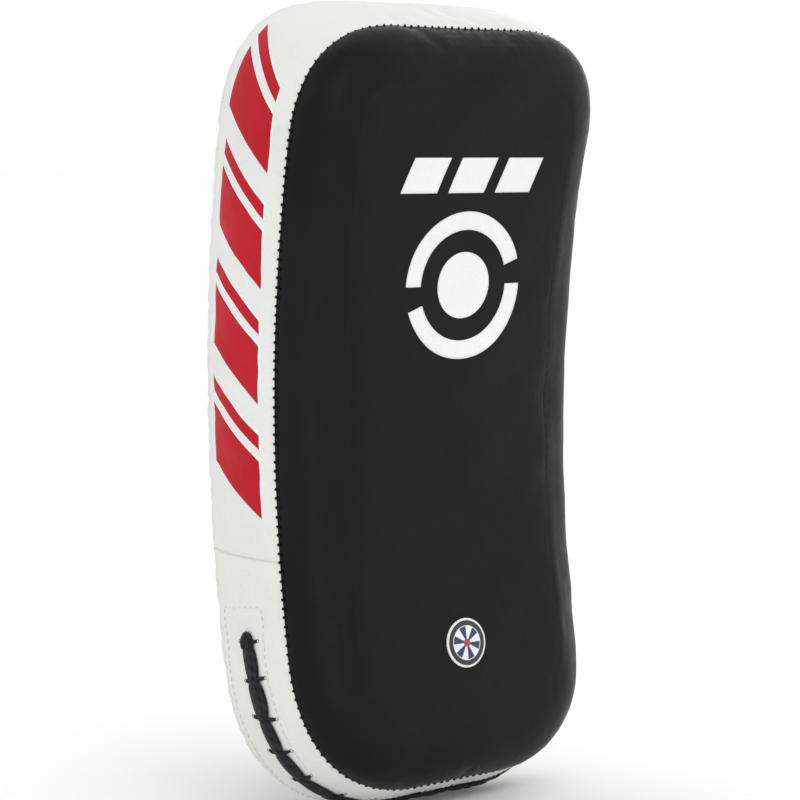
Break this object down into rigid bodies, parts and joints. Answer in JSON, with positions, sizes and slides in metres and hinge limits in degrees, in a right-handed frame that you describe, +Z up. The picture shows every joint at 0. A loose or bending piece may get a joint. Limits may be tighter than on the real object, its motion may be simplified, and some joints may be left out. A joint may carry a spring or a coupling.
{
  "type": "thai pad",
  "caption": "Curved strike pad with a laced leather cover over layered foam, two hook-and-loop forearm straps and a padded cross grip.",
  "frame": {"origin": "middle of the base of the bounding box, with the pad standing on its laced bottom edge", "axes": "+X across the pad to the right as seen from the strike face, -Y out of the strike face, +Y to the forearm side, +Z up the pad's length"},
  "size_m": [0.2194, 0.1568, 0.4116],
  "materials": {
    "black_leather": "satin fine-grained synthetic leather",
    "white_leather": "satin pebbled synthetic leather",
    "tongue_fabric": "matte woven backing",
    "cushion_leather": "soft grained synthetic leather over foam",
    "strike_foam": "closed-cell foam, stood in for by rubber",
    "core_foam": "dense foam, stood in for by rubber",
    "support_foam": "soft foam, stood in for by rubber",
    "board": "thin pressed board",
    "lace": "waxed flat lace",
    "webbing": "woven webbing",
    "loop_tape": "soft loop tape",
    "hook_tape": "stiff hook tape",
    "steel": "bright plated steel",
    "grip_wood": "turned dowel",
    "grip_leather": "padded leather wrap",
    "white_print": "smooth heat-pressed film",
    "badge": "domed round badge",
    "red_print": "smooth heat-pressed film"
  },
  "bodies": {
    "pad": {"front_cover": "black_leather", "back_cover": "black_leather", "upper_gusset": "white_leather", "lower_gusset": "white_leather", "lacing_facing": "white_leather", "lacing_tongue": "tongue_fabric", "forearm_cushion": "cushion_leather", "strike_foam": "strike_foam", "core_foam": "core_foam", "support_foam": "support_foam", "stiffener_board": "board", "lace_strand_a": "lace", "lace_strand_b": "lace", "lace_knot_left": "lace", "lace_knot_right": "lace", "lower_strap": "webbing", "lower_loop_patch": "loop_tape", "lower_ring_anchor": "webbing", "lower_strap_patch": "black_leather", "lower_ring_patch": "black_leather", "lower_rivet_1": "steel", "lower_rivet_2": "steel", "lower_rivet_3": "steel", "lower_rivet_4": "steel", "upper_strap": "webbing", "upper_loop_patch": "loop_tape", "upper_ring_anchor": "webbing", "upper_strap_patch": "black_leather", "upper_ring_patch": "black_leather", "upper_rivet_1": "steel", "upper_rivet_2": "steel", "upper_rivet_3": "steel", "upper_rivet_4": "steel", "grip_patch_left": "black_leather", "grip_patch_right": "black_leather", "grip_rivet_1": "steel", "grip_rivet_2": "steel", "grip_rivet_3": "steel", "grip_rivet_4": "steel", "face_stripes": "white_print", "face_target": "white_print", "round_badge": "badge", "side_print_left": "red_print", "side_print_right": "red_print"},
    "grip": {"grip_core": "grip_wood", "grip_sleeve": "grip_leather", "grip_lug_left": "grip_leather", "grip_lug_right": "grip_leather"},
    "lower_flap": {"lower_tab": "webbing", "lower_hook_patch": "hook_tape"},
    "lower_ring": {"lower_ring": "steel"},
    "upper_flap": {"upper_tab": "webbing", "upper_hook_patch": "hook_tape"},
    "upper_ring": {"upper_ring": "steel"}
  },
  "joints": [
    {"name": "grip_tilt", "type": "hinge", "parent": "pad", "child": "grip", "pos_m": [0, 0.01652, 0.34324], "axis": [1, 0, 0], "range_deg": [-12, 12]},
    {"name": "lower_flap_peel", "type": "hinge", "parent": "pad", "child": "lower_flap", "pos_m": [0.0654, 0.02667, 0.12792], "axis": [0, -0.0957, -0.9954], "range_deg": [0, 100]},
    {"name": "lower_ring_swing", "type": "hinge", "parent": "pad", "child": "lower_ring", "pos_m": [0.0596, 0.01344, 0.12919], "axis": [0, 0.0957, 0.9954], "range_deg": [-5, 5]},
    {"name": "upper_flap_peel", "type": "hinge", "parent": "pad", "child": "upper_flap", "pos_m": [0.0654, 0.03046, 0.2334], "axis": [0, 0.0236, -0.9997], "range_deg": [0, 100]},
    {"name": "upper_ring_swing", "type": "hinge", "parent": "pad", "child": "upper_ring", "pos_m": [0.0596, 0.01717, 0.23308], "axis": [0, -0.0236, 0.9997], "range_deg": [-5, 5]}
  ]
}
